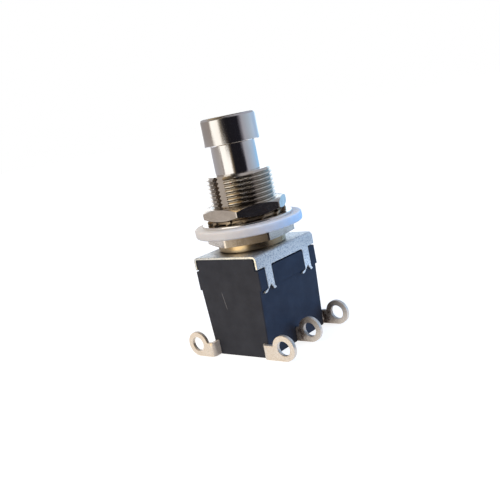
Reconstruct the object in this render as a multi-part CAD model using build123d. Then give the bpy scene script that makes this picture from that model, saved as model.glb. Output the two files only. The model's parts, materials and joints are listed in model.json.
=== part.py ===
from build123d import *
import os
from math import cos, radians, sin, sqrt, tan

# Panel-mount foot switch, millimetres.
# The origin is under the housing, on the plunger's axis. +Z runs up the plunger.
# The long sides of the housing, with the frame's flanges and the solder lugs, face -X and +X.

# Housing
FOOT_WIDTH = 12.4
SIDE_DRAFT = 0.72
DEPTH = 17.0
LEDGE_Z = 12.25
LEDGE_HEIGHT = 3.5
HEAD_HEIGHT = 2.2
SIDE_WALL = 0.9
END_WALL = 1.1
GUIDE_SHOULDER = 0.6
HEAD_END_WALL = 0.8
MOULDED_EDGE = 0.2

# Folded frame
FRAME_SHEET = 0.4
FRAME_GAP = 0.25
FLANGE_DROP = 2.35
BEND_RADIUS = 0.8
TAB_SPACING = 11.2
TAB_WIDTH = 1.9
TAB_CORNER = 0.3
PRONG_DROP = 0.65
PRONG_WIDTH = 0.6
LONG_PRONG_REACH = 1.05
SHORT_PRONG_REACH = 0.4
NOTCH_RISE = 0.5
TAB_CLEARANCE = 0.1

# Threaded bushing, thread 12 x 0.75
THREAD_RADIUS = 5.95
PITCH_RADIUS = 5.7
COLLAR_RADIUS = 6.2
COLLAR_HEIGHT = 1.8
RELIEF_RADIUS = 5.5
RELIEF_HEIGHT = 0.2
THREAD_LENGTH = 11.8
THREAD_PITCH = 0.75
THREAD_DEPTH = 0.4
CREST_WIDTH = 0.2
THREAD_CHAMFER = 0.4
GUIDE_BORE_LENGTH = 4.3
SPRING_BORE_RADIUS = 4.6
SPIGOT_RADIUS = 5.0
SWAGE_RADIUS = 5.5
SWAGE_HEIGHT = 0.4
KEYWAY_WIDTH = 2.3
KEYWAY_DEPTH = 0.6

# Nuts and washers
NUT_ACROSS_FLATS = 14.0
BACKING_NUT_HEIGHT = 1.4
BACKING_NUT_TURN = 33.8
BACKING_NUT_CHAMFER = 6.0
PANEL_NUT_HEIGHT = 2.05
PANEL_NUT_TURN = -0.8
PANEL_NUT_CHAMFER = 27.0
THREAD_CLEARANCE = 0.04
NYLON_RADIUS = 9.85
NYLON_THICKNESS = 1.6
NYLON_EDGE = 0.2
FLAT_RADIUS = 8.25
FLAT_THICKNESS = 0.45
WASHER_CLEARANCE = 0.15
LOCK_RADIUS = 7.3
LOCK_RING_RADIUS = 6.7
LOCK_HEIGHT = 0.75
LOCK_SHEET = 0.4
LOCK_TOOTH_COUNT = 14
LOCK_TOOTH_TWIST = 22.0

# Plunger
CAP_RADIUS = 5.0
CAP_HEIGHT = 4.9
CAP_ROUND = 0.55
CAP_LOWER_EDGE = 0.15
SHANK_RADIUS = 4.0
SHANK_SHOWN = 5.2
SHANK_CLEARANCE = 0.05
STOP_RADIUS = 4.5
STOP_THICKNESS = 1.5
STOP_GAP = 0.05
STUB_RADIUS = 3.5
STUB_LENGTH = 5.4
STUB_BORE_RADIUS = 2.7
STUB_BORE_DEPTH = 6.0
TRAVEL = 3.5

# Return spring and guide plate
SPRING_RADIUS = 4.1
SPRING_WIRE = 0.6
SPRING_TURNS = 6.0
SPRING_SEAT_GAP = 0.02
WIRE_FACET_COUNT = 6
GUIDE_THICKNESS = 0.8
GUIDE_CLEARANCE = 0.05
GUIDE_HOLE_RADIUS = 3.75

# Pusher, swung on a cross pin in the plunger's stub
PUSHER_PIN_RADIUS = 0.6
PUSHER_PIN_INSET = 0.1
PUSHER_PIN_HEIGHT = 1.45
PUSHER_HUB_RADIUS = 1.2
PUSHER_HUB_WIDTH = 4.6
PUSHER_WIDTH = 3.0
PUSHER_TIP_RADIUS = 0.7
PUSHER_SWING = 12.0
PUSH_GAP = 0.3
PIN_CLEARANCE = 0.05

# Rocker
ROCKER_TILT = 12.0
ROCKER_PIN_RADIUS = 0.8
PIN_SKIN = 0.5
ROCKER_HUB_RADIUS = 1.5
ROCKER_SIDE_GAP = 0.4
ROCKER_ARM_REACH = 4.2
ROCKER_ARM_SLOPE = 20.0
ROCKER_ARM_WIDTH = 5.0
ROCKER_ARM_THICKNESS = 1.2
ROCKER_VALLEY = 1.4
LEG_RADIUS = 1.3
LEG_LENGTH = 3.6
LEG_BORE_DEPTH = 2.5

# Spring-loaded contact pins
CONTACT_PIN_RADIUS = 0.78
CONTACT_PIN_LENGTH = 2.4
CONTACT_PIN_REACH = 4.8
CONTACT_TIP_RADIUS = 0.5
CONTACT_TIP_TAPER = 0.3
CONTACT_PIN_CLEARANCE = 0.07
CONTACT_PIN_GAP = 0.05
CONTACT_SPRING_RADIUS = 0.6
CONTACT_SPRING_WIRE = 0.25
CONTACT_SPRING_TURNS = 3.0

# Contact blades
POLE_INSET = 1.7
BLADE_WIDTH = 2.4
BLADE_LENGTH = 12.0
BLADE_SHEET = 0.4
BLADE_TILT = 8.0
BLADE_SEAT_GAP = 0.03
CONTACT_SPACING = 10.0
DOME_RADIUS = 1.2
DOME_HEIGHT = 0.35
HORN_WIDTH = 0.5
HORN_RISE = 0.35
HORN_CLEARANCE = 0.05
NOTCH_LENGTH = 1.4

# Terminals and fixed contacts
TERMINAL_SHEET = 0.7
LUG_LIFT = 0.05
STRIP_HEIGHT = 2.65
LUG_REACH = 3.25
FRONT_LEFT_REACH = 2.8
FRONT_RIGHT_REACH = 4.0
RING_RADIUS = 2.315
EYE_RADIUS = 1.335
LEG_BEND = 0.3
FRONT_LEFT_BEND = 0.15
LEG_CORNER_SKIN = 0.2
FRONT_LEFT_STANDOFF = 1.2
FRONT_RIGHT_STANDOFF = 0.1
REAR_LEFT_STANDOFF = 0.55
REAR_RIGHT_STANDOFF = 0.25
PAD_LENGTH = 3.2
PAD_MARGIN = 0.3
TERMINAL_CLEARANCE = 0.05
RIVET_HEAD_RADIUS = 1.1
RIVET_HEAD_HEIGHT = 0.75
RIVET_SHANK_RADIUS = 0.6
RIVET_EDGE = 0.15
CONTACT_GAP = 0.04
BASE_CLEARANCE = 0.05

# Heights that follow from the sizes above
LEDGE_TOP_Z = LEDGE_Z + LEDGE_HEIGHT
PLATE_UNDER_Z = LEDGE_TOP_Z + HEAD_HEIGHT
FRAME_TOP_Z = PLATE_UNDER_Z + FRAME_SHEET
FLANGE_LOW_Z = FRAME_TOP_Z - FLANGE_DROP
GUIDE_TOP_Z = PLATE_UNDER_Z - SWAGE_HEIGHT
GUIDE_LOW_Z = GUIDE_TOP_Z - GUIDE_THICKNESS
THREAD_LOW_Z = FRAME_TOP_Z + COLLAR_HEIGHT
THREAD_TOP_Z = THREAD_LOW_Z + THREAD_LENGTH
NYLON_LOW_Z = THREAD_LOW_Z + BACKING_NUT_HEIGHT
FLAT_LOW_Z = NYLON_LOW_Z + NYLON_THICKNESS
LOCK_LOW_Z = FLAT_LOW_Z + FLAT_THICKNESS
PANEL_NUT_LOW_Z = LOCK_LOW_Z + LOCK_HEIGHT
FREE_THREAD_Z = PANEL_NUT_LOW_Z + PANEL_NUT_HEIGHT
FREE_THREAD_TOP_Z = THREAD_TOP_Z - THREAD_CHAMFER
STOP_SHOULDER_Z = THREAD_TOP_Z - GUIDE_BORE_LENGTH
STOP_TOP_Z = STOP_SHOULDER_Z - STOP_GAP
STOP_LOW_Z = STOP_TOP_Z - STOP_THICKNESS
STUB_LOW_Z = STOP_LOW_Z - STUB_LENGTH
PUSHER_PIN_Z = STUB_LOW_Z + PUSHER_PIN_HEIGHT
CAP_LOW_Z = THREAD_TOP_Z + SHANK_SHOWN
CAP_TOP_Z = CAP_LOW_Z + CAP_HEIGHT
STRIP_TOP_Z = LUG_LIFT + STRIP_HEIGHT
BASE_TOP_Z = STRIP_TOP_Z - TERMINAL_SHEET
FIXED_CONTACT_Z = STRIP_TOP_Z + RIVET_HEAD_HEIGHT

# The blade rocks on the half-round top of the mid terminal, its dome just over the fixed contact
POST_RADIUS = TERMINAL_SHEET / 2
BLADE_UNDER = POST_RADIUS + BLADE_SEAT_GAP
DOME_CENTRE = BLADE_UNDER - DOME_HEIGHT + DOME_RADIUS
BLADE_AXIS_Z = (
    FIXED_CONTACT_Z + CONTACT_GAP + DOME_RADIUS
    - DOME_CENTRE * cos(radians(BLADE_TILT))
    + CONTACT_SPACING / 2 * sin(radians(BLADE_TILT))
)
BLADE_TOP_Z = BLADE_AXIS_Z + BLADE_UNDER + BLADE_SHEET
HORN_TOP_Z = BLADE_TOP_Z + HORN_RISE
ROCKER_AXIS_Z = BLADE_TOP_Z + CONTACT_PIN_GAP + CONTACT_PIN_REACH
PUSHER_LENGTH = PUSHER_PIN_Z - TRAVEL - ROCKER_AXIS_Z - ROCKER_VALLEY - PUSHER_TIP_RADIUS - PUSH_GAP

# Half widths that follow
HALF_DEPTH = DEPTH / 2
FOOT_X = FOOT_WIDTH / 2
WAIST_X = FOOT_X + SIDE_DRAFT
FRAME_X = WAIST_X + FRAME_SHEET
FRAME_WIDTH = 2 * FRAME_X
TAB_INNER_X = FRAME_X - FRAME_SHEET
INNER_BEND = BEND_RADIUS - FRAME_SHEET
HEAD_X = TAB_INNER_X - FRAME_GAP
CAVITY_X = FOOT_X - SIDE_WALL
CAVITY_Y = HALF_DEPTH - END_WALL
GUIDE_X = CAVITY_X + GUIDE_SHOULDER
GUIDE_Y = HALF_DEPTH - HEAD_END_WALL
PIN_SEAT_X = FOOT_X + SIDE_DRAFT * ROCKER_AXIS_Z / LEDGE_Z - PIN_SKIN
POLE_X = CAVITY_X - POLE_INSET
CONTACT_Y = CONTACT_SPACING / 2
RING_Z = LUG_LIFT + RING_RADIUS
LEG_OUTER_X = FOOT_X - LEG_CORNER_SKIN
LEG_INNER_X = LEG_OUTER_X - TERMINAL_SHEET
PAD_INNER_X = POLE_X - RIVET_HEAD_RADIUS - PAD_MARGIN
PAD_LOW_Y = CONTACT_Y - PAD_LENGTH / 2
PAD_HIGH_Y = CONTACT_Y + PAD_LENGTH / 2
SIDES = {"left": -1, "right": 1}
ENDS = {"front": -1, "rear": 1}

# Each end lug as it was set by hand: gap to the end wall, reach past the foot, bend radius
END_LUGS = {
    ("front", "left"): (FRONT_LEFT_STANDOFF, FRONT_LEFT_REACH, FRONT_LEFT_BEND),
    ("front", "right"): (FRONT_RIGHT_STANDOFF, FRONT_RIGHT_REACH, LEG_BEND),
    ("rear", "left"): (REAR_LEFT_STANDOFF, LUG_REACH, LEG_BEND),
    ("rear", "right"): (REAR_RIGHT_STANDOFF, LUG_REACH, LEG_BEND),
}


def block(x, y, z):
    """Box between the two ends of each of three ranges."""
    size = [high - low for low, high in (x, y, z)]
    centre = [(low + high) / 2 for low, high in (x, y, z)]
    return Pos(*centre) * Box(*size)


def turned(*profile):
    """Solid of revolution about Z, from (radius, height) corners."""
    return revolve(Plane.XZ * Polygon(*profile, align=None), Axis.Z)


def upright(radius, low, high, x=0.0, y=0.0):
    """Cylinder along Z between two heights."""
    return Pos(x, y, (low + high) / 2) * Cylinder(radius, high - low)


def cross_rod(radius, half_length, z, x=0.0):
    """Cylinder along X, centred at x, at the height z and y = 0."""
    return Pos(x, 0, z) * Rot(0, 90, 0) * Cylinder(radius, 2 * half_length)


def mirrored(shape, side, end=-1):
    """Copy of a front right shape for another side or end."""
    if side < 0:
        shape = shape.mirror(Plane.YZ)
    if end > 0:
        shape = shape.mirror(Plane.XZ)
    return shape


def coil(radius, wire, turns, low, high):
    """Open coil spring that fills the height from low to high."""
    height = high - low - wire
    path = Pos(0, 0, low + wire / 2) * Helix(height / turns, height, radius)
    start = Plane(path @ 0, z_dir=path % 0)
    return sweep(start * RegularPolygon(wire / 2, WIRE_FACET_COUNT), path=path, is_frenet=True)


def make_housing():
    """Moulded cup: tapered foot, ledge for the frame's tabs, and a narrow head under the frame."""
    half_profile = [
        (FOOT_X, 0),
        (WAIST_X, LEDGE_Z),
        (FRAME_X, LEDGE_Z),
        (FRAME_X, LEDGE_TOP_Z),
        (HEAD_X, LEDGE_TOP_Z),
        (HEAD_X, PLATE_UNDER_Z - INNER_BEND),
        (HEAD_X - INNER_BEND, PLATE_UNDER_Z),
    ]
    profile = half_profile + [(-x, z) for x, z in reversed(half_profile)]
    body = extrude(Plane.XZ * Polygon(*profile, align=None), HALF_DEPTH, both=True)
    steep_edges = [
        edge for edge in body.edges()
        if abs((edge % 0.5).Z) > 2 * abs((edge % 0.5).X) and abs((edge % 0.5).Z) > abs((edge % 0.5).Y)
    ]
    body = fillet(steep_edges, MOULDED_EDGE)
    body -= block((-CAVITY_X, CAVITY_X), (-CAVITY_Y, CAVITY_Y), (0, PLATE_UNDER_Z))
    body -= block((-GUIDE_X, GUIDE_X), (-GUIDE_Y, GUIDE_Y), (GUIDE_LOW_Z, PLATE_UNDER_Z))
    body -= upright(SWAGE_RADIUS + THREAD_CLEARANCE, GUIDE_TOP_Z, PLATE_UNDER_Z)
    tab_half = TAB_WIDTH / 2 + TAB_CLEARANCE
    pin_half = ROCKER_PIN_RADIUS + PIN_CLEARANCE
    slot_half = TERMINAL_SHEET / 2 + TERMINAL_CLEARANCE
    slot_z = (0, STRIP_TOP_Z + TERMINAL_CLEARANCE)
    leg_x = (LEG_INNER_X - TERMINAL_CLEARANCE, LEG_OUTER_X + TERMINAL_CLEARANCE)
    groove_x = (TAB_INNER_X - TERMINAL_CLEARANCE, FRAME_X + TAB_CLEARANCE)
    relief_z = (FLANGE_LOW_Z - TAB_CORNER - TAB_CLEARANCE, LEDGE_TOP_Z)
    for side in SIDES.values():
        for end in ENDS.values():
            tab_y = -TAB_SPACING / 2
            groove = block(groove_x, (tab_y - tab_half, tab_y + tab_half), (LEDGE_Z, LEDGE_TOP_Z))
            groove += block(groove_x, (tab_y, tab_y + tab_half + TAB_CORNER), relief_z)
            leg_slot = block(leg_x, (-HALF_DEPTH, TERMINAL_CLEARANCE - PAD_LOW_Y), slot_z)
            body -= mirrored(groove, side, end)
            body -= mirrored(leg_slot, side, end)
        pin_slot = block((0, PIN_SEAT_X), (-pin_half, pin_half), (ROCKER_AXIS_Z, PLATE_UNDER_Z))
        pin_slot += cross_rod(pin_half, PIN_SEAT_X / 2, ROCKER_AXIS_Z, PIN_SEAT_X / 2)
        mid_slot = block((0, FOOT_WIDTH), (-slot_half, slot_half), slot_z)
        body -= mirrored(pin_slot, side)
        body -= mirrored(mid_slot, side)
    return body


def make_base():
    """Plate that closes the foot and carries the terminals' pads."""
    half_x = CAVITY_X - BASE_CLEARANCE
    half_y = CAVITY_Y - BASE_CLEARANCE
    plate = block((-half_x, half_x), (-half_y, half_y), (0, BASE_TOP_Z))
    slot_half = TERMINAL_SHEET / 2 + TERMINAL_CLEARANCE
    post_low = POLE_X - BLADE_WIDTH / 2 - TERMINAL_CLEARANCE
    leg_low = LEG_INNER_X - TERMINAL_CLEARANCE
    for side in SIDES.values():
        plate -= mirrored(block((post_low, FOOT_WIDTH), (-slot_half, slot_half), (0, BASE_TOP_Z)), side)
        for end in ENDS.values():
            leg_slot = block((leg_low, FOOT_WIDTH), (-DEPTH, TERMINAL_CLEARANCE - PAD_LOW_Y), (0, BASE_TOP_Z))
            plate -= mirrored(leg_slot, side, end)
    return plate


def tab_outline():
    """Forked tab in (along Y, up) coordinates, its end spread under the ledge."""
    half = TAB_WIDTH / 2
    fork_z = LEDGE_Z - TERMINAL_CLEARANCE
    tip_z = LEDGE_Z - PRONG_DROP
    notch_z = LEDGE_Z + NOTCH_RISE
    return Polygon(
        (-half, FRAME_TOP_Z - BEND_RADIUS),
        (-half, fork_z),
        (-half - LONG_PRONG_REACH, tip_z + PRONG_WIDTH / 2),
        (-half - LONG_PRONG_REACH, tip_z),
        (-half - LONG_PRONG_REACH + PRONG_WIDTH, tip_z),
        (0, notch_z),
        (half + SHORT_PRONG_REACH - PRONG_WIDTH, tip_z),
        (half + SHORT_PRONG_REACH, tip_z + PRONG_WIDTH / 4),
        (half, fork_z),
        (half, FRAME_TOP_Z - BEND_RADIUS),
        align=None,
    )


def make_frame():
    """One folded sheet: top plate, two side flanges and four forked tabs clinched under the ledge."""
    top = (Align.CENTER, Align.MAX)
    outer = Rectangle(FRAME_WIDTH, FLANGE_DROP, align=top)
    outer = fillet(outer.vertices().sort_by(Axis.Y)[-2:], BEND_RADIUS)
    inner = Rectangle(FRAME_WIDTH - 2 * FRAME_SHEET, FLANGE_DROP - FRAME_SHEET, align=top)
    inner = fillet(inner.vertices().sort_by(Axis.Y)[-2:], INNER_BEND)
    section = outer - Pos(0, -FRAME_SHEET) * inner
    frame = extrude(Plane.XZ * (Pos(0, FRAME_TOP_Z) * section), HALF_DEPTH, both=True)

    flange_height = FRAME_TOP_Z - BEND_RADIUS - FLANGE_LOW_Z
    flange = Pos(0, FLANGE_LOW_Z + flange_height / 2) * Rectangle(DEPTH, flange_height)
    for end in ENDS.values():
        flange += Pos(end * TAB_SPACING / 2, 0) * tab_outline()
    inner_corner_y = TAB_SPACING / 2 - TAB_WIDTH / 2
    corners = [
        vertex for vertex in flange.vertices()
        if abs(abs(vertex.X) - inner_corner_y) < TAB_CLEARANCE
        and abs(vertex.Y - FLANGE_LOW_Z) < TAB_CLEARANCE
    ]
    flange = fillet(corners, TAB_CORNER)
    side_sheet = extrude(Plane.YZ.offset(TAB_INNER_X) * flange, FRAME_SHEET)
    for side in SIDES.values():
        frame += mirrored(side_sheet, side)
    hole_radius = SPIGOT_RADIUS + THREAD_CLEARANCE
    return frame - upright(hole_radius, PLATE_UNDER_Z - FRAME_SHEET, FRAME_TOP_Z + FRAME_SHEET)


def free_thread():
    """Profile of the thread above the panel nut, from crest to crest, as ring grooves."""
    root_radius = THREAD_RADIUS - THREAD_DEPTH
    groove_width = THREAD_PITCH - CREST_WIDTH
    groove_count = int((FREE_THREAD_TOP_Z - FREE_THREAD_Z - CREST_WIDTH) / THREAD_PITCH)
    first_groove_z = FREE_THREAD_TOP_Z - groove_count * THREAD_PITCH
    profile = [(THREAD_RADIUS, FREE_THREAD_Z)]
    for index in range(groove_count):
        groove_z = first_groove_z + index * THREAD_PITCH
        profile += [
            (THREAD_RADIUS, groove_z),
            (root_radius, groove_z + groove_width / 2),
            (THREAD_RADIUS, groove_z + groove_width),
        ]
    return profile + [(THREAD_RADIUS, FREE_THREAD_TOP_Z)]


def make_bushing():
    """Turned bushing: collar on the frame's plate, swaged under it, and a keyway down the thread."""
    guide_radius = SHANK_RADIUS + SHANK_CLEARANCE
    bushing = turned(
        (SPRING_BORE_RADIUS, GUIDE_TOP_Z),
        (SWAGE_RADIUS, GUIDE_TOP_Z),
        (SWAGE_RADIUS, PLATE_UNDER_Z),
        (SPIGOT_RADIUS, PLATE_UNDER_Z),
        (SPIGOT_RADIUS, FRAME_TOP_Z),
        (RELIEF_RADIUS, FRAME_TOP_Z),
        (RELIEF_RADIUS, FRAME_TOP_Z + RELIEF_HEIGHT),
        (COLLAR_RADIUS, FRAME_TOP_Z + RELIEF_HEIGHT),
        (COLLAR_RADIUS, THREAD_LOW_Z),
        (PITCH_RADIUS, THREAD_LOW_Z),
        (PITCH_RADIUS, FREE_THREAD_Z),
        *free_thread(),
        (THREAD_RADIUS - THREAD_CHAMFER, THREAD_TOP_Z),
        (guide_radius, THREAD_TOP_Z),
        (guide_radius, STOP_SHOULDER_Z),
        (SPRING_BORE_RADIUS, STOP_SHOULDER_Z),
    )
    keyway_half = KEYWAY_WIDTH / 2
    keyway_y = (-2 * THREAD_RADIUS, KEYWAY_DEPTH - THREAD_RADIUS)
    return bushing - block((-keyway_half, keyway_half), keyway_y, (THREAD_LOW_Z, THREAD_TOP_Z))


def make_nut(low, height, turn, chamfer_angle):
    """Thin hex nut, its corners chamfered at an angle on both faces."""
    high = low + height
    flat_radius = NUT_ACROSS_FLATS / 2
    corner_radius = NUT_ACROSS_FLATS / sqrt(3)
    outer_radius = 2 * corner_radius - flat_radius
    drop = (outer_radius - flat_radius) * tan(radians(chamfer_angle))
    bore_radius = PITCH_RADIUS + THREAD_CLEARANCE
    prism = extrude(Pos(0, 0, low) * Rot(0, 0, turn) * RegularPolygon(corner_radius, 6), height)
    chamfer_cones = turned(
        (bore_radius, low),
        (flat_radius, low),
        (outer_radius, low + drop),
        (outer_radius, high - drop),
        (flat_radius, high),
        (bore_radius, high),
    )
    return prism & chamfer_cones


def make_washer(radius, low, thickness, edge=0.0):
    """Round washer that slips over the thread."""
    washer = upright(radius, low, low + thickness)
    if edge > 0:
        washer = chamfer(washer.edges().filter_by(GeomType.CIRCLE), edge)
    return washer - upright(THREAD_RADIUS + WASHER_CLEARANCE, low - thickness, low + 2 * thickness)


def make_lock_washer():
    """Ring of spring sheet with teeth round its edge, each twisted out of the ring's plane."""
    middle = LOCK_LOW_Z + LOCK_HEIGHT / 2
    washer = upright(LOCK_RING_RADIUS, middle - LOCK_SHEET / 2, middle + LOCK_SHEET / 2)
    tooth_start = (LOCK_RING_RADIUS + THREAD_RADIUS + WASHER_CLEARANCE) / 2
    twist = radians(LOCK_TOOTH_TWIST)
    tooth_width = (LOCK_HEIGHT - LOCK_SHEET * cos(twist)) / sin(twist)
    tooth = Box(LOCK_RADIUS - tooth_start, tooth_width, LOCK_SHEET)
    tooth = Pos((LOCK_RADIUS + tooth_start) / 2, 0, middle) * Rot(LOCK_TOOTH_TWIST, 0, 0) * tooth
    for index in range(LOCK_TOOTH_COUNT):
        washer += Rot(0, 0, index * 360 / LOCK_TOOTH_COUNT) * tooth
    return washer - upright(THREAD_RADIUS + WASHER_CLEARANCE, LOCK_LOW_Z, PANEL_NUT_LOW_Z)


def make_plunger():
    """Turned plunger: cap, shank, stop flange and a hollow stub that carries the pusher."""
    bore_top_z = STUB_LOW_Z + STUB_BORE_DEPTH
    plunger = turned(
        (0, bore_top_z),
        (STUB_BORE_RADIUS, bore_top_z),
        (STUB_BORE_RADIUS, STUB_LOW_Z),
        (STUB_RADIUS, STUB_LOW_Z),
        (STUB_RADIUS, STOP_LOW_Z),
        (STOP_RADIUS, STOP_LOW_Z),
        (STOP_RADIUS, STOP_TOP_Z),
        (SHANK_RADIUS, STOP_TOP_Z),
        (SHANK_RADIUS, CAP_LOW_Z),
        (CAP_RADIUS - CAP_LOWER_EDGE, CAP_LOW_Z),
        (CAP_RADIUS, CAP_LOW_Z + CAP_LOWER_EDGE),
        (CAP_RADIUS, CAP_TOP_Z),
        (0, CAP_TOP_Z),
    )
    rims = plunger.edges().filter_by(GeomType.CIRCLE).filter_by(lambda edge: edge.radius == CAP_RADIUS)
    plunger = fillet(rims.sort_by(Axis.Z)[-1:], CAP_ROUND)
    return plunger - cross_rod(PUSHER_PIN_RADIUS, 2 * STUB_RADIUS, PUSHER_PIN_Z)


def make_guide_plate():
    """Spring seat over the housing's mouth, with two legs that hold the rocker pin in its slots."""
    half_x = GUIDE_X - GUIDE_CLEARANCE
    half_y = GUIDE_Y - GUIDE_CLEARANCE
    plate = block((-half_x, half_x), (-half_y, half_y), (GUIDE_LOW_Z, GUIDE_TOP_Z))
    plate -= upright(GUIDE_HOLE_RADIUS, GUIDE_LOW_Z - GUIDE_THICKNESS, GUIDE_TOP_Z + GUIDE_THICKNESS)
    leg_half = ROCKER_PIN_RADIUS
    leg_x = (CAVITY_X, half_x)
    leg_z = (ROCKER_AXIS_Z + ROCKER_PIN_RADIUS + GUIDE_CLEARANCE, GUIDE_TOP_Z)
    for side in SIDES.values():
        plate += mirrored(block(leg_x, (-leg_half, leg_half), leg_z), side)
    return plate


def make_pusher():
    """Flat tongue that hangs from the cross pin and swings to push one arm of the rocker."""
    tip_z = PUSHER_PIN_Z - PUSHER_LENGTH
    tongue = make_hull([
        *(Pos(0, PUSHER_PIN_Z) * Circle(PUSHER_HUB_RADIUS)).edges(),
        *(Pos(0, tip_z) * Circle(PUSHER_TIP_RADIUS)).edges(),
    ])
    pusher = extrude(Plane.YZ * tongue, PUSHER_WIDTH / 2, both=True)
    pusher += cross_rod(PUSHER_HUB_RADIUS, PUSHER_HUB_WIDTH / 2, PUSHER_PIN_Z)
    pusher -= cross_rod(PUSHER_PIN_RADIUS + PIN_CLEARANCE, PUSHER_HUB_WIDTH, PUSHER_PIN_Z)
    return pusher.rotate(Axis((0, 0, PUSHER_PIN_Z), (1, 0, 0)), PUSHER_SWING)


def tilted_rocker(shape):
    """Rocker piece turned to its rest side."""
    return shape.rotate(Axis((0, 0, ROCKER_AXIS_Z), (1, 0, 0)), -ROCKER_TILT)


def make_rocker():
    """Moulded rocker: hub on its pin, two sloping arms above, two bored legs below."""
    rise = ROCKER_ARM_REACH * tan(radians(ROCKER_ARM_SLOPE))
    arm_half = [
        (0, ROCKER_VALLEY),
        (ROCKER_ARM_REACH, ROCKER_VALLEY + rise),
        (ROCKER_ARM_REACH, ROCKER_VALLEY + rise - ROCKER_ARM_THICKNESS),
        (ROCKER_HUB_RADIUS, -ROCKER_HUB_RADIUS / 2),
    ]
    outline = arm_half + [(-y, z) for y, z in reversed(arm_half[1:])]
    arms = extrude(
        Plane.YZ * (Pos(0, ROCKER_AXIS_Z) * Polygon(*outline, align=None)), ROCKER_ARM_WIDTH / 2, both=True
    )
    hub_half = CAVITY_X - ROCKER_SIDE_GAP
    rocker = arms + cross_rod(ROCKER_HUB_RADIUS, hub_half, ROCKER_AXIS_Z)
    leg_low = ROCKER_AXIS_Z - LEG_LENGTH
    bore_radius = CONTACT_PIN_RADIUS + CONTACT_PIN_CLEARANCE
    for side in SIDES.values():
        rocker += upright(LEG_RADIUS, leg_low, ROCKER_AXIS_Z, side * POLE_X)
    for side in SIDES.values():
        rocker -= upright(bore_radius, leg_low - LEG_LENGTH, leg_low + LEG_BORE_DEPTH, side * POLE_X)
    valley = Pos(0, ROCKER_AXIS_Z) * Polygon(
        arm_half[0],
        arm_half[1],
        (ROCKER_ARM_REACH, 2 * ROCKER_ARM_REACH),
        (-ROCKER_ARM_REACH, 2 * ROCKER_ARM_REACH),
        (-ROCKER_ARM_REACH, ROCKER_VALLEY + rise),
        align=None,
    )
    rocker -= extrude(Plane.YZ * valley, ROCKER_ARM_WIDTH / 2, both=True)
    rocker -= cross_rod(ROCKER_PIN_RADIUS + PIN_CLEARANCE, 2 * CAVITY_X, ROCKER_AXIS_Z)
    return tilted_rocker(rocker)


def make_contact_pin(side):
    """Spring-loaded pin with a round tip, in the bore of a rocker leg."""
    tip_z = ROCKER_AXIS_Z - CONTACT_PIN_REACH + CONTACT_TIP_RADIUS
    top_z = ROCKER_AXIS_Z - CONTACT_PIN_REACH + CONTACT_PIN_LENGTH
    pin = turned(
        (0, tip_z),
        (CONTACT_TIP_RADIUS, tip_z),
        (CONTACT_PIN_RADIUS, tip_z + CONTACT_TIP_TAPER),
        (CONTACT_PIN_RADIUS, top_z),
        (0, top_z),
    )
    pin += Pos(0, 0, tip_z) * Sphere(CONTACT_TIP_RADIUS)
    return tilted_rocker(Pos(side * POLE_X, 0, 0) * pin)


def make_contact_spring(side):
    """Small coil spring between the bore's end and the contact pin."""
    low = ROCKER_AXIS_Z - CONTACT_PIN_REACH + CONTACT_PIN_LENGTH + SPRING_SEAT_GAP
    high = ROCKER_AXIS_Z - LEG_LENGTH + LEG_BORE_DEPTH - SPRING_SEAT_GAP
    spring = coil(CONTACT_SPRING_RADIUS, CONTACT_SPRING_WIRE, CONTACT_SPRING_TURNS, low, high)
    return tilted_rocker(Pos(side * POLE_X, 0, 0) * spring)


def make_contact_blade(side):
    """See-saw strip, notched round the horns of the mid terminal, with a pressed dome at each end."""
    under_z = BLADE_AXIS_Z + BLADE_UNDER
    neck_half = BLADE_WIDTH / 2 - HORN_WIDTH - HORN_CLEARANCE
    outline = RectangleRounded(BLADE_WIDTH, BLADE_LENGTH, BLADE_WIDTH / 4)
    for flank in SIDES.values():
        outline -= Pos(flank * (neck_half + BLADE_WIDTH / 2), 0) * Rectangle(BLADE_WIDTH, NOTCH_LENGTH)
    blade = extrude(Pos(0, 0, under_z) * outline, BLADE_SHEET)
    for end in ENDS.values():
        dome = Pos(0, end * CONTACT_Y, under_z - DOME_HEIGHT + DOME_RADIUS) * Sphere(DOME_RADIUS)
        span = (-DOME_RADIUS, DOME_RADIUS)
        end_span = (end * CONTACT_Y - DOME_RADIUS, end * CONTACT_Y + DOME_RADIUS)
        blade += dome & block(span, end_span, (under_z - DOME_RADIUS, under_z + BLADE_SHEET / 2))
    blade = Pos(side * POLE_X, 0, 0) * blade
    return blade.rotate(Axis((0, 0, BLADE_AXIS_Z), (1, 0, 0)), BLADE_TILT)


def lug(start_x, reach, y):
    """Flat solder lug with its eye, parallel to the XZ plane, from start_x outwards over the range y."""
    ring_x = FOOT_X + reach
    strip = block((start_x, ring_x), y, (LUG_LIFT, STRIP_TOP_Z))
    middle = Pos(ring_x, (y[0] + y[1]) / 2, RING_Z) * Rot(90, 0, 0)
    ring = middle * Cylinder(RING_RADIUS, y[1] - y[0])
    eye = middle * Cylinder(EYE_RADIUS, 2 * (y[1] - y[0]))
    return strip + ring - eye


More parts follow.
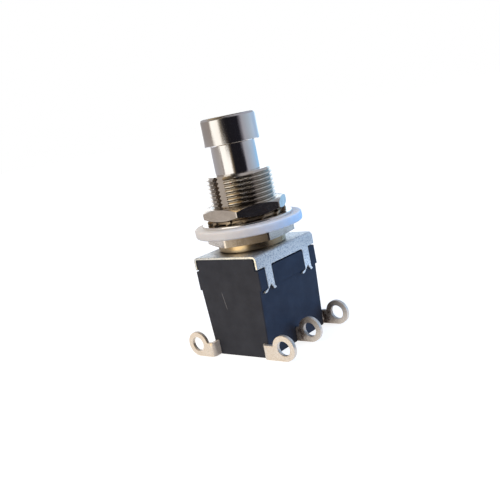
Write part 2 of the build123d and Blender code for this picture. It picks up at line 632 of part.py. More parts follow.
def make_end_terminal(standoff, reach, bend_radius, side, end):
    """Folded strip: pad inside, leg through the end wall, bent outwards to its solder lug."""
    lug_inner_y = -HALF_DEPTH - standoff
    lug_y = (lug_inner_y - TERMINAL_SHEET, lug_inner_y)
    bend_x = LEG_OUTER_X + bend_radius
    bend_y = lug_inner_y + bend_radius
    leg = block((LEG_INNER_X, LEG_OUTER_X), (bend_y, -PAD_LOW_Y), (LUG_LIFT, STRIP_TOP_Z))
    bend_outer = bend_radius + TERMINAL_SHEET
    bend = upright(bend_outer, LUG_LIFT, STRIP_TOP_Z, bend_x, bend_y)
    bend -= upright(bend_radius, 0, LEDGE_Z, bend_x, bend_y)
    bend &= block((bend_x - bend_outer, bend_x), (bend_y - bend_outer, bend_y), (LUG_LIFT, STRIP_TOP_Z))
    pad = block((PAD_INNER_X, LEG_OUTER_X), (-PAD_HIGH_Y, -PAD_LOW_Y), (BASE_TOP_Z, STRIP_TOP_Z))
    terminal = pad + leg + bend + lug(bend_x, reach, lug_y)
    terminal -= upright(RIVET_SHANK_RADIUS, 0, LEDGE_Z, POLE_X, -CONTACT_Y)
    return mirrored(terminal, side, end)


def make_mid_terminal(side):
    """Straight strip through the side wall; its inner end is the post that the blade rocks on."""
    y = (-POST_RADIUS, POST_RADIUS)
    post_x = (POLE_X - BLADE_WIDTH / 2, POLE_X + BLADE_WIDTH / 2)
    terminal = lug(post_x[1] - HORN_WIDTH, LUG_REACH, y)
    terminal += block(post_x, y, (LUG_LIFT, BLADE_AXIS_Z))
    terminal += cross_rod(POST_RADIUS, BLADE_WIDTH / 2, BLADE_AXIS_Z, POLE_X)
    for low in (post_x[0], post_x[1] - HORN_WIDTH):
        terminal += block((low, low + HORN_WIDTH), y, (BLADE_AXIS_Z, HORN_TOP_Z))
    return mirrored(terminal, side)


def make_fixed_contact(side, end):
    """Rivet with a broad head, set in an end terminal's pad."""
    rivet = turned(
        (0, BASE_TOP_Z),
        (RIVET_SHANK_RADIUS, BASE_TOP_Z),
        (RIVET_SHANK_RADIUS, STRIP_TOP_Z),
        (RIVET_HEAD_RADIUS, STRIP_TOP_Z),
        (RIVET_HEAD_RADIUS, FIXED_CONTACT_Z - RIVET_EDGE),
        (RIVET_HEAD_RADIUS - RIVET_EDGE, FIXED_CONTACT_Z),
        (0, FIXED_CONTACT_Z),
    )
    return Pos(side * POLE_X, end * CONTACT_Y, 0) * rivet


def make_pieces():
    """Every piece of the switch at rest, by name."""
    pieces = {
        "housing": make_housing(),
        "base": make_base(),
        "frame": make_frame(),
        "bushing": make_bushing(),
        "guide_plate": make_guide_plate(),
        "backing_nut": make_nut(THREAD_LOW_Z, BACKING_NUT_HEIGHT, BACKING_NUT_TURN, BACKING_NUT_CHAMFER),
        "nylon_washer": make_washer(NYLON_RADIUS, NYLON_LOW_Z, NYLON_THICKNESS, NYLON_EDGE),
        "flat_washer": make_washer(FLAT_RADIUS, FLAT_LOW_Z, FLAT_THICKNESS),
        "lock_washer": make_lock_washer(),
        "panel_nut": make_nut(PANEL_NUT_LOW_Z, PANEL_NUT_HEIGHT, PANEL_NUT_TURN, PANEL_NUT_CHAMFER),
        "plunger": make_plunger(),
        "return_spring": coil(
            SPRING_RADIUS,
            SPRING_WIRE,
            SPRING_TURNS,
            GUIDE_TOP_Z + SPRING_SEAT_GAP,
            STOP_LOW_Z - SPRING_SEAT_GAP,
        ),
        "pusher_pin": cross_rod(PUSHER_PIN_RADIUS, STUB_RADIUS - PUSHER_PIN_INSET, PUSHER_PIN_Z),
        "pusher": make_pusher(),
        "rocker_pin": cross_rod(ROCKER_PIN_RADIUS, PIN_SEAT_X - PIN_CLEARANCE, ROCKER_AXIS_Z),
        "rocker": make_rocker(),
    }
    for side_name, side in SIDES.items():
        pieces[f"contact_pin_{side_name}"] = make_contact_pin(side)
        pieces[f"contact_spring_{side_name}"] = make_contact_spring(side)
        pieces[f"contact_blade_{side_name}"] = make_contact_blade(side)
        pieces[f"terminal_mid_{side_name}"] = make_mid_terminal(side)
        for end_name, end in ENDS.items():
            lug_set = END_LUGS[end_name, side_name]
            pieces[f"terminal_{end_name}_{side_name}"] = make_end_terminal(*lug_set, side, end)
            pieces[f"fixed_contact_{end_name}_{side_name}"] = make_fixed_contact(side, end)
    return pieces


os.makedirs("parts", exist_ok=True)
for piece_name, piece in make_pieces().items():
    export_step(piece, f"parts/{piece_name}.step")
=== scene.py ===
import json
from math import asin, cos, pi, radians, sin, sqrt, tan

import bmesh
import bpy
from mathutils import Matrix, Vector


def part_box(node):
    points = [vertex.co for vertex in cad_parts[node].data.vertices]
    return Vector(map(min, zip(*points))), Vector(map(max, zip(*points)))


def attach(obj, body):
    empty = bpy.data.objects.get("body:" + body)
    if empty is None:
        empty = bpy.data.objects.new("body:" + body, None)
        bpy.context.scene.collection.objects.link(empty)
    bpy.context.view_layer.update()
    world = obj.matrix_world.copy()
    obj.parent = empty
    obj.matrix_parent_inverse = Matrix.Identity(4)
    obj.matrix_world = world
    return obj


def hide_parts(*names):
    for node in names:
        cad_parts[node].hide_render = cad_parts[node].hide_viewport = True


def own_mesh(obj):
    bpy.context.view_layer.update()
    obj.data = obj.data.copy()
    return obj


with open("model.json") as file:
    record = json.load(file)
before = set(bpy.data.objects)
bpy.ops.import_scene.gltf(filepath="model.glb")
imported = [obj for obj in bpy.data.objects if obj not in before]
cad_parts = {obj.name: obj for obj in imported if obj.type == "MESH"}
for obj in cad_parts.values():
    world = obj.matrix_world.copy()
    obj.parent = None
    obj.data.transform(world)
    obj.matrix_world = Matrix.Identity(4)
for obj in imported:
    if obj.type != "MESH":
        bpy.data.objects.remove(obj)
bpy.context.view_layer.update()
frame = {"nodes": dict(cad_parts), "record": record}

# Sizes are in millimetres and become metres where a mesh is made.
MM = 0.001
RECORD = frame["record"]
SLOT_OF = {part["node"]: part["material_slot"] for part in RECORD["subparts"]}
BODY_OF = {node: body for body, nodes in RECORD["behaviour"]["bodies"].items() for node in nodes}
SHARP_ANGLE = radians(34)

# Places of a colour Mix node's sockets, which share their names with others
MIX_SHARE, MIX_COLOURS, MIX_RESULT = 0, (6, 7), 2

# Camera
LENS = 49.08
CAMERA_TURN, CAMERA_RISE, CAMERA_ROLL = 41.76, 11.12, -11.64
CAMERA_TARGET = Vector((-7.46, 7.26, 15.4)) * MM
CAMERA_DISTANCE = 135.6 * MM
CLIP_START = 5 * MM

# Bushing and its 12 x 0.75 thread; the keyway's floor is drawn 0.2 mm deeper than in the solid
THREAD_RADIUS, THREAD_DEPTH, THREAD_PITCH = 5.95, 0.42, 0.75
PITCH_RADIUS, COLLAR_RADIUS, SPIGOT_RADIUS, SWAGE_RADIUS = 5.7, 6.2, 5.0, 5.5
RELIEF_RADIUS, RELIEF_HEIGHT = 5.5, 0.2
GUIDE_RADIUS, SPRING_BORE_RADIUS = 4.05, 4.6
GUIDE_BORE_LENGTH, FRAME_SHEET = 4.3, 0.4
THREAD_CHAMFER, MOUTH_CHAMFER = 0.45, 0.18
KEYWAY_WIDTH, KEYWAY_FLOOR, KEYWAY_INSET = 2.3, 5.15, 0.999
ROUND_STEPS, FLOOR_STEPS, STEPS_PER_PITCH = 200, 6, 20
CREST_START, CREST_SPAN = 0.9, 0.78

# Nuts and washers; the backing nut is drawn 0.4 mm further down over the collar than its solid
HEX_SIDES, ACROSS_FLATS, NUT_BORE, NUT_COUNTERSINK = 6, 14.0, 5.74, 0.35
NUT_FACE_RADIUS, NUT_CORNER_POWER, NUT_COLUMNS = 7.0, 140, 288
PANEL_NUT_TURN, PANEL_NUT_CHAMFER = -0.8, 27
BACKING_NUT_TURN, BACKING_NUT_CHAMFER, BACKING_NUT_DROP = 33.8, 6, 0.4
NYLON_RADIUS, NYLON_BORE, NYLON_ROUND = 9.84, 6.1, 0.32
LATHE_COLUMNS, ROUND_SEGMENTS = 160, 6

# Springs: radius of the coil, wire and turns
RETURN_COIL, CONTACT_COIL = (4.1, 0.6, 7), (0.6, 0.25, 4)
CONTACT_COIL_HALF, CONTACT_COIL_LEAN = 0.53, radians(-12)
WIRE_COLUMNS, STEPS_PER_TURN = 12, 40

# Broken edges of the pieces that keep the shape of their solid
EDGES = {
    "plunger": 0.05, "frame": 0.06, "flat_washer": 0.05, "lock_washer": 0.05, "housing": 0.09, "base": 0.1,
    "guide_plate": 0.08, "rocker": 0.08, "pusher": 0.08, "pusher_pin": 0.06, "rocker_pin": 0.08,
}
LUG_EDGE, LUG_EDGE_SEGMENTS = 0.12, 3
CONTACT_EDGE, EDGE_SEGMENTS, EDGE_PROFILE = 0.04, 2, 0.5
WELD_DISTANCE, FLAT_ANGLE = 0.002, radians(0.4)

# Plated metals: pale and dull tone, ends of the roughness, grain per millimetre, depth of the grain
SMOOTH_DEPTH = 0.0006
METALS = {
    "nickel_plunger": ((0.8, 0.78, 0.765), (0.72, 0.7, 0.68), (0.05, 0.12), 6.0, 0.007),
    "nickel_bushing": ((0.8, 0.745, 0.67), (0.66, 0.595, 0.51), (0.07, 0.15), 5.0, SMOOTH_DEPTH),
    "nickel_nut": ((0.88, 0.82, 0.74), (0.56, 0.5, 0.43), (0.12, 0.24), 6.0, 0.011),
    "steel_washer": ((0.93, 0.9, 0.86), (0.84, 0.8, 0.75), (0.1, 0.2), 4.0, 0.0015),
    # lock_steel's dark brown tone is painted shade between the nut and the flat washer
    "lock_steel": ((0.5, 0.4, 0.28), (0.3, 0.23, 0.15), (0.28, 0.45), 4.0, 0.0015),
    "spring_wire": ((0.6, 0.6, 0.61), (0.46, 0.46, 0.47), (0.25, 0.4), 6.0, SMOOTH_DEPTH),
    "pin_steel": ((0.66, 0.66, 0.67), (0.52, 0.52, 0.53), (0.22, 0.36), 6.0, SMOOTH_DEPTH),
    "contact_metal": ((0.84, 0.81, 0.75), (0.7, 0.66, 0.58), (0.2, 0.34), 5.0, SMOOTH_DEPTH),
}
# The bushing's metal is turned and carries painted shade
TURNED_SHADED_METAL = "nickel_bushing"
EVEN_GRAIN, TURNED_GRAIN, ROLLED_GRAIN = (1, 1, 1), (0.35, 0.35, 2.2), (1.0, 0.7, 1.0)
# Pairs named FLECKS, CLOUDS or ENDS are the noise values that count as none and as full; SHARES are weights
NOISE_ENDS, METAL_CLOUDS, METAL_SHARES = (0.3, 0.7), (0.35, 0.7), (0.45, 0.55)

# Painted shade on the bushing: dark thread roots, a satin collar in a darker brass and dark keyway walls
THREAD_ROOT_SHADE, ROOT_SHADE_RADII, ROOT_SHADE_FLOOR = (0.41, 0.37, 0.315), (5.7, 5.88), (5.4, 5.48)
COLLAR_SATIN, COLLAR_SHADE_TONE = 0.12, (0.62, 0.49, 0.31)
KEYWAY_WALL_SHADE, KEYWAY_METALLIC = (0.2, 0.145, 0.1), 0.2
KEYWAY_SIDES, KEYWAY_FRONT, KEYWAY_OFF_FLOOR = (1.16, 1.19), (-5.0, -4.9), (5.29, 5.34)
CHAMFER_FADE, WEAR_FADE = 0.15, 0.1

# Zinc sheet, with a brown painted shadow and reflection of the collar on its plate in front of the collar
ZINC_PALE, ZINC_DULL = (0.97, 1.0, 1.0), (0.39, 0.475, 0.585)
ZINC_FLECKS, ZINC_SHARES = (0.46, 0.64), (0.85, 0.22)
ZINC_GLOSS_FLECKS, ZINC_GLOSS, ZINC_DEPTH = (0.35, 0.7), (0.34, 0.55), 0.006
PLATE_SHADOW, PLATE_SHADOW_SHARE = (0.2, 0.15, 0.095), 0.9
PLATE_SHADOW_RADII, PLATE_SHADOW_FRONT, PLATE_SHADOW_DEPTHS = (6.3, 8.4), (-3.5, -1.0), (0.3, 0.1)

# Tinned lugs: dull legs, glossier bends, and a painted dark reflection of the housing beside it, behind the
# front lugs
LUG_PALE, LUG_DULL, HOUSING_REFLECTION = (0.86, 0.795, 0.72), (0.58, 0.47, 0.35), (0.055, 0.026, 0.022)
LUG_FLECKS, LUG_SHARES, LUG_GLOSS, LUG_DEPTH = (0.35, 0.65), (0.6, 0.4), (0.3, 0.46), 0.003
HOUSING_REFLECTION_FADE, HOUSING_REFLECTION_FRONT = (7.4, 10.4), (-5.0, -3.0)
HOUSING_REFLECTION_CLOUDS, HOUSING_REFLECTION_CLOUD_LEAST = (0.38, 0.54), 0.6
HOUSING_REFLECTION_FLECKS, HOUSING_REFLECTION_FLECK_LEAST = (0.36, 0.56), 0.5
LEG_END, LEG_METALLIC, LUG_METALLIC = (5.5, 5.75), 0.05, 0.72
BEND_END, BEND_GLOSS = (6.1, 6.5), 0.55

# Moulding: dust specks and the long scratch on its front
MOULDING_DARK, MOULDING_PALE, DUST = (0.031, 0.033, 0.042), (0.044, 0.0465, 0.058), (0.12, 0.12, 0.13)
MOULDING_SPECULAR, MOULDING_GLOSS, MOULDING_DEPTH = 0.14, (0.5, 0.66), 0.008
DUST_ENDS, DUST_MOST = (0.72, 0.78), 0.35
SCRATCH_START, SCRATCH_END = Vector((-2.05, -8.5, 12.05)), Vector((-1.56, -8.5, 8.6))
SCRATCH_TONE, SCRATCH_WIDTH, SCRATCH_TAPER, SCRATCH_WANDER = (0.26, 0.25, 0.255), (0.02, 0.11), 0.5, 0.25
SCRATCH_SKIN, SCRATCH_GRAIN_ENDS, SCRATCH_SHARES = (-0.1, -0.05), (0.3, 0.6), (0.3, 0.75)

# Plastics
NYLON_PALE, NYLON_DULL = (0.77, 0.735, 0.71), (0.7, 0.675, 0.66)
NYLON_GLOSS, NYLON_DEPTH = (0.38, 0.52), 0.003
NYLON_GLOW, NYLON_GLOW_RADIUS, NYLON_GLOW_SCALE = 0.6, (1.0, 0.85, 0.8), 1.2
NATURAL_PALE, NATURAL_DULL = (0.84, 0.81, 0.74), (0.76, 0.73, 0.66)
NATURAL_GLOSS, NATURAL_DEPTH = (0.39, 0.53), 0.004

# Studio cards round the object that its metal mirrors: degrees round Z from +X, then the glow
# low down, higher up and on top
CARDS = [
    (-180, (0.46, 0.44, 0.46), (0.36, 0.33, 0.32), (0.44, 0.42, 0.43)),
    (-150, (0.44, 0.41, 0.4), (0.35, 0.31, 0.29), (0.42, 0.4, 0.4)),
    (-130, (0.48, 0.44, 0.42), (0.35, 0.3, 0.27), (0.34, 0.3, 0.28)),
    (-124, (0.42, 0.37, 0.34), (1.3, 1.25, 1.15), (0.3, 0.27, 0.24)),
    (-119, (0.3, 0.26, 0.245), (1.35, 1.3, 1.22), (0.3, 0.27, 0.24)),
    (-116, (1.35, 1.31, 1.24), (1.35, 1.3, 1.22), (0.28, 0.24, 0.2)),
    (-92, (1.35, 1.31, 1.24), (1.3, 1.24, 1.14), (0.26, 0.22, 0.17)),
    (-83, (1.35, 1.31, 1.24), (0.26, 0.22, 0.17), (0.24, 0.2, 0.15)),
    (-74, (1.35, 1.31, 1.24), (0.06, 0.053, 0.05), (0.2, 0.17, 0.13)),
    (-68, (0.36, 0.28, 0.19), (0.03, 0.027, 0.028), (0.1, 0.085, 0.07)),
    (-63, (0.14, 0.11, 0.08), (0.02, 0.018, 0.02), (0.07, 0.06, 0.055)),
    (-58, (0.012, 0.011, 0.014), (0.012, 0.011, 0.014), (0.05, 0.045, 0.045)),
    (-12, (0.012, 0.011, 0.014), (0.014, 0.013, 0.018), (0.3, 0.29, 0.31)),
    (-2, (0.014, 0.013, 0.02), (0.2, 0.19, 0.22), (0.4, 0.39, 0.44)),
    (5, (0.4, 0.4, 0.45), (0.42, 0.42, 0.47), (0.42, 0.41, 0.47)),
    (37, (0.46, 0.54, 0.66), (0.5, 0.58, 0.68), (0.42, 0.43, 0.5)),
    (57, (0.46, 0.61, 0.82), (0.53, 0.66, 0.84), (0.42, 0.44, 0.52)),
    (66, (0.44, 0.62, 0.88), (0.48, 0.63, 0.85), (0.42, 0.44, 0.53)),
    (73, (0.42, 0.64, 0.93), (0.45, 0.6, 0.83), (0.42, 0.45, 0.54)),
    (90, (0.36, 0.67, 1.02), (0.46, 0.66, 0.92), (0.42, 0.46, 0.56)),
    (112, (0.4, 0.64, 0.95), (0.95, 1.2, 1.45), (0.3, 0.33, 0.4)),
    (135, (0.47, 0.5, 0.57), (1.5, 1.56, 1.62), (0.3, 0.3, 0.33)),
    (155, (0.46, 0.45, 0.48), (1.3, 1.3, 1.3), (0.42, 0.41, 0.42)),
    (170, (0.46, 0.44, 0.46), (0.4, 0.38, 0.38), (0.44, 0.42, 0.43)),
    (180, (0.46, 0.44, 0.46), (0.36, 0.33, 0.32), (0.44, 0.42, 0.43)),
]
CARD_CENTRE, CARD_RADIUS, CARD_HEIGHT = (-30.0, 0.0), 85.0, 150.0
# Heights between which one level fades into the next; the roof's colours fade along X
CARD_HIGH, CARD_TOP, CARD_ROOF = (31.0, 36.0), (60.0, 68.0), (140.0, 149.0)
ROOF_FADE, ROOF_LEFT, ROOF_MIDDLE = (-70.0, -15.0), (0.44, 0.34, 0.21), (0.04, 0.034, 0.03)
ROOF_RISE, ROOF_RIGHT = (4.0, 18.0), (0.42, 0.41, 0.44)

# Short cards nearer by, which the collar, the flanges and the thread's grooves mirror: degrees, then the glow
# low down and higher up
NEAR_CARDS = [
    (-180, (1.2, 1.22, 1.36), (0.26, 0.23, 0.21)),
    (-150, (1.2, 1.18, 1.28), (0.26, 0.23, 0.2)),
    (-124, (1.3, 1.1, 0.8), (0.5, 0.38, 0.22)),
    (-106, (2.0, 1.55, 0.85), (2.4, 1.9, 1.1)),
    (-86, (2.0, 1.55, 0.85), (2.4, 1.9, 1.1)),
    (-70, (1.2, 0.9, 0.5), (0.4, 0.3, 0.18)),
    (-48, (0.04, 0.032, 0.028), (0.03, 0.024, 0.02)),
    (14, (0.04, 0.04, 0.045), (0.02, 0.019, 0.02)),
    (34, (0.74, 0.9, 1.15), (0.024, 0.024, 0.028)),
    (100, (0.74, 0.98, 1.28), (0.06, 0.065, 0.08)),
    (140, (0.75, 0.8, 0.9), (0.2, 0.2, 0.22)),
    (180, (1.2, 1.22, 1.36), (0.26, 0.23, 0.21)),
]
NEAR_CENTRE, NEAR_RADIUS, NEAR_HEIGHT, NEAR_HIGH = (0.0, 0.0), 30.0, 14.5, (11.8, 12.4)

# World, floor and lamps; a lamp's row is its turn and rise in degrees, its power and its colour
WHITE = (1, 1, 1, 1)
SOFT_LIGHT, COOL_LIGHT = (0.66, 0.65, 0.655), (0.04, 0.27, 0.9)
COOL_FROM, COOL_SPREAD = (0.82, 0.57, 0.0), (0.35, 1.0)
FLOOR_GLOW, FLOOR_SHADE, FLOOR_PALE = 0.8, 0.42, 0.5
FLOOR_RADIUS, FLOOR_GAP, STAGE_SEGMENTS = 3.0, 0.02, 96
LAMPS = {
    "warm_lamp": (-100, 40, 0.68, (1.0, 0.88, 0.72)),
    "cool_lamp": (42, 14, 1.4, (0.05, 0.42, 1.0)),
}
LAMP_AIM, LAMP_DISTANCE, LAMP_SIZE = Vector((0, 0, 0.02)), 0.4, 0.25


def heights(node):
    """Lowest and highest Z of a CAD node in millimetres."""
    low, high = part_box(node)
    return low.z / MM, high.z / MM


def fill(tree, socket, value):
    """Links a socket to another one, or gives it a plain value."""
    if isinstance(value, bpy.types.NodeSocket):
        tree.links.new(value, socket)
    else:
        socket.default_value = value


def add_node(tree, kind, settings=None, **inputs):
    """Adds a shader node, sets its properties, and fills its inputs with values or links."""
    made = tree.nodes.new("ShaderNode" + kind)
    for name, value in (settings or {}).items():
        setattr(made, name, value)
    for name, value in inputs.items():
        fill(tree, made.inputs[name.replace("_", " ")], value)
    return made


def calculate(tree, operation, *values):
    """Math node over one to three numbers or links."""
    made = add_node(tree, "Math", {"operation": operation})
    for socket, value in zip(made.inputs, values):
        fill(tree, socket, value)
    return made.outputs[0]


def product(tree, first, *others):
    """Product of several links."""
    for other in others:
        first = calculate(tree, "MULTIPLY", first, other)
    return first


def weigh(tree, first, second, shares):
    """Sum of two links, each times its share."""
    first_share, second_share = shares
    rest = calculate(tree, "MULTIPLY", second, second_share)
    return calculate(tree, "MULTIPLY_ADD", first, first_share, rest)


def blend_colours(tree, share, first, second):
    """Colour between two others, by a linked share."""
    made = add_node(tree, "Mix", {"data_type": "RGBA"})
    fill(tree, made.inputs[MIX_SHARE], share)
    for index, colour in zip(MIX_COLOURS, (first, second)):
        fill(tree, made.inputs[index], (*colour, 1) if isinstance(colour, tuple) else colour)
    return made.outputs[MIX_RESULT]


def spread(tree, value, low, high, to_low=0.0, to_high=1.0):
    """Value mapped from one range to another and held at its ends."""
    ranged = add_node(tree, "MapRange", Value=value)
    ends = ("From Min", low), ("From Max", high), ("To Min", to_low), ("To Max", to_high)
    for name, end in ends:
        ranged.inputs[name].default_value = end
    return ranged.outputs[0]


def fall(tree, value, low, high):
    """One below a range of values, falling to zero above it."""
    return spread(tree, value, low, high, to_low=1.0, to_high=0.0)


def new_material(name):
    """Empty material: its tree, its shader, and object coordinates in millimetres."""
    material = bpy.data.materials.new(name)
    material.use_nodes = True
    tree = material.node_tree
    tree.nodes.clear()
    shader = add_node(tree, "BsdfPrincipled")
    output = add_node(tree, "OutputMaterial")
    tree.links.new(shader.outputs[0], output.inputs[0])
    coordinates = add_node(tree, "TexCoord")
    in_mm = add_node(tree, "Mapping", Vector=coordinates.outputs["Object"], Scale=(1 / MM, 1 / MM, 1 / MM))
    return material, tree, shader, in_mm.outputs[0]


def noise(tree, place, scale, stretch=EVEN_GRAIN, detail=3.0, roughness=0.55):
    """Noise value, its grain per millimetre, stretched along the axes."""
    stretched = add_node(tree, "Mapping", Vector=place, Scale=stretch)
    made = add_node(
        tree, "TexNoise", Vector=stretched.outputs[0], Scale=scale, Detail=detail, Roughness=roughness
    )
    return made.outputs["Fac"]


def surface(tree, shader, colour, gloss, height, depth):
    """Links a shader's colour and roughness, and bumps it by a height value; depth in millimetres."""
    tree.links.new(colour, shader.inputs["Base Color"])
    tree.links.new(gloss, shader.inputs["Roughness"])
    bump = add_node(tree, "Bump", Height=height, Distance=depth * MM, Strength=1.0)
    tree.links.new(bump.outputs[0], shader.inputs["Normal"])


def axis_distance(tree, place):
    """Distance of a place from the plunger's axis."""
    across = add_node(tree, "VectorMath", {"operation": "MULTIPLY"})
    tree.links.new(place, across.inputs[0])
    across.inputs[1].default_value = (1, 1, 0)
    return add_node(tree, "VectorMath", {"operation": "LENGTH"}, Vector=across.outputs[0]).outputs["Value"]


def along(tree, place, start, direction):
    """Distance of a place from a start point, along a direction."""
    offset = add_node(tree, "VectorMath", {"operation": "SUBTRACT"})
    tree.links.new(place, offset.inputs[0])
    offset.inputs[1].default_value = start
    dot = add_node(tree, "VectorMath", {"operation": "DOT_PRODUCT"})
    tree.links.new(offset.outputs[0], dot.inputs[0])
    dot.inputs[1].default_value = direction
    return dot.outputs["Value"]


def collar_top():
    """Height at which the shown collar ends and the shown backing nut begins."""
    return heights("backing_nut")[0] - BACKING_NUT_DROP


def on_collar(tree, place):
    """One on the bushing's collar, which is drawn less polished than the thread and painted a darker brass as
    shade under the nut and washers; zero above it.
    """
    top = collar_top()
    height = add_node(tree, "SeparateXYZ", Vector=place).outputs["Z"]
    return fall(tree, height, top - WEAR_FADE, top)


def keyway_walls(tree, place):
    """One on the two side walls of the keyway above the nut, which are painted dark as shade, and zero
    elsewhere.
    """
    axes = add_node(tree, "SeparateXYZ", Vector=place)
    _, low = heights("panel_nut")
    return product(
        tree,
        fall(tree, calculate(tree, "ABSOLUTE", axes.outputs["X"]), *KEYWAY_SIDES),
        fall(tree, axes.outputs["Y"], *KEYWAY_FRONT),
        spread(tree, axis_distance(tree, place), *KEYWAY_OFF_FLOOR),
        spread(tree, axes.outputs["Z"], low - WEAR_FADE, low),
    )


def root_shade_share(tree, place):
    """Share of painted shade: full in the roots of the thread, none on its crests or in the keyway."""
    radius = axis_distance(tree, place)
    height = add_node(tree, "SeparateXYZ", Vector=place).outputs["Z"]
    _, low = heights("panel_nut")
    chamfer_low = heights("bushing")[1] - THREAD_CHAMFER
    return product(
        tree,
        fall(tree, radius, *ROOT_SHADE_RADII),
        spread(tree, radius, *ROOT_SHADE_FLOOR),
        fall(tree, height, chamfer_low - CHAMFER_FADE, chamfer_low),
        spread(tree, height, low - WEAR_FADE, low),
    )


def metal(name, pale, dull, roughness, grain, depth):
    """Plated metal with a cloudy tone, uneven gloss and fine grain; the bushing's is turned, with painted
    shade in its thread's roots, on its collar and on its keyway walls.
    """
    wear_and_shade = name == TURNED_SHADED_METAL
    material, tree, shader, place = new_material(name)
    clouds = spread(tree, noise(tree, place, scale=0.45, detail=4.0), *METAL_CLOUDS)
    stretch = TURNED_GRAIN if wear_and_shade else EVEN_GRAIN
    fine = noise(tree, place, grain, stretch, detail=5.0, roughness=0.65)
    tone = weigh(tree, spread(tree, fine, *NOISE_ENDS), clouds, METAL_SHARES)
    colour = blend_colours(tree, tone, pale, dull)
    gloss = spread(tree, fine, *NOISE_ENDS, *roughness)
    if wear_and_shade:
        collar, walls = on_collar(tree, place), keyway_walls(tree, place)
        # Painted shade: dark thread roots, a darker brass collar and dark keyway walls
        colour = blend_colours(tree, root_shade_share(tree, place), colour, THREAD_ROOT_SHADE)
        colour = blend_colours(tree, collar, colour, COLLAR_SHADE_TONE)
        colour = blend_colours(tree, walls, colour, KEYWAY_WALL_SHADE)
        gloss = calculate(tree, "MULTIPLY_ADD", collar, COLLAR_SATIN, gloss)
        tree.links.new(spread(tree, walls, 0.0, 1.0, 1.0, KEYWAY_METALLIC), shader.inputs["Metallic"])
    else:
        shader.inputs["Metallic"].default_value = 1.0
    surface(tree, shader, colour, gloss, fine, depth)
    return material


def zinc_sheet():
    """Bright zinc plate: pale blue-grey with a rolled, flecked grain, and a painted shadow and reflection of
    the collar on the plate in front of it.
    """
    material, tree, shader, place = new_material("zinc_sheet")
    flecks = noise(tree, place, scale=4.4, stretch=ROLLED_GRAIN, detail=5.0, roughness=0.7)
    clouds = noise(tree, place, scale=0.5, detail=2.0)
    tone = weigh(tree, spread(tree, flecks, *ZINC_FLECKS), clouds, ZINC_SHARES)
    colour = blend_colours(tree, tone, ZINC_PALE, ZINC_DULL)
    axes = add_node(tree, "SeparateXYZ", Vector=place)
    _, top = heights("frame")
    # Painted shadow and reflection of the collar, in brown, on the plate in front of it
    plate_shadow = product(
        tree,
        spread(tree, axis_distance(tree, place), *PLATE_SHADOW_RADII, PLATE_SHADOW_SHARE, 0.0),
        fall(tree, axes.outputs["Y"], *PLATE_SHADOW_FRONT),
        spread(tree, axes.outputs["Z"], *(top - depth for depth in PLATE_SHADOW_DEPTHS)),
    )
    colour = blend_colours(tree, plate_shadow, colour, PLATE_SHADOW)
    gloss = spread(tree, flecks, *ZINC_GLOSS_FLECKS, *ZINC_GLOSS)
    shader.inputs["Metallic"].default_value = 1.0
    surface(tree, shader, colour, gloss, flecks, ZINC_DEPTH)
    return material


def lug_plate():
    """Tinned lugs: champagne with golden flecks, with a painted brown reflection of the housing on the middle
    and rear ones.
    """
    material, tree, shader, place = new_material("lug_plate")
    flecks = noise(tree, place, scale=5.0, detail=5.0, roughness=0.7)
    clouds = noise(tree, place, scale=0.8, detail=4.0)
    tone = weigh(tree, spread(tree, flecks, *LUG_FLECKS), clouds, LUG_SHARES)
    colour = blend_colours(tree, tone, LUG_PALE, LUG_DULL)
    axes = add_node(tree, "SeparateXYZ", Vector=place)
    outward = calculate(tree, "ABSOLUTE", axes.outputs["X"])
    # Painted reflection of the black housing on the lugs beside it
    reflected_housing = product(
        tree,
        fall(tree, outward, *HOUSING_REFLECTION_FADE),
        spread(tree, axes.outputs["Y"], *HOUSING_REFLECTION_FRONT),
        spread(tree, clouds, *HOUSING_REFLECTION_CLOUDS, to_low=HOUSING_REFLECTION_CLOUD_LEAST),
        spread(tree, flecks, *HOUSING_REFLECTION_FLECKS, to_low=HOUSING_REFLECTION_FLECK_LEAST),
    )
    colour = blend_colours(tree, reflected_housing, colour, HOUSING_REFLECTION)
    bend = spread(tree, outward, *BEND_END, to_low=BEND_GLOSS)
    gloss = calculate(tree, "MULTIPLY", bend, spread(tree, flecks, *NOISE_ENDS, *LUG_GLOSS))
    tree.links.new(spread(tree, outward, *LEG_END, LEG_METALLIC, LUG_METALLIC), shader.inputs["Metallic"])
    surface(tree, shader, colour, gloss, flecks, LUG_DEPTH)
    return material


def scratch(tree, place, patches):
    """Share of the long scratch on the housing's front, which wanders with the patches."""
    reach = SCRATCH_END - SCRATCH_START
    half = reach.length / 2
    run = reach.normalized()
    side = Vector((-run.z, 0, run.x))
    wander = calculate(tree, "MULTIPLY", calculate(tree, "SUBTRACT", patches, 0.5), SCRATCH_WANDER)
    across = calculate(tree, "ADD", along(tree, place, SCRATCH_START, side), wander)
    from_middle = calculate(tree, "SUBTRACT", along(tree, place, SCRATCH_START, run), half)
    return product(
        tree,
        fall(tree, calculate(tree, "ABSOLUTE", across), *SCRATCH_WIDTH),
        fall(tree, calculate(tree, "ABSOLUTE", from_middle), half - SCRATCH_TAPER, half),
        spread(tree, along(tree, place, SCRATCH_START, (0, -1, 0)), *SCRATCH_SKIN),
    )


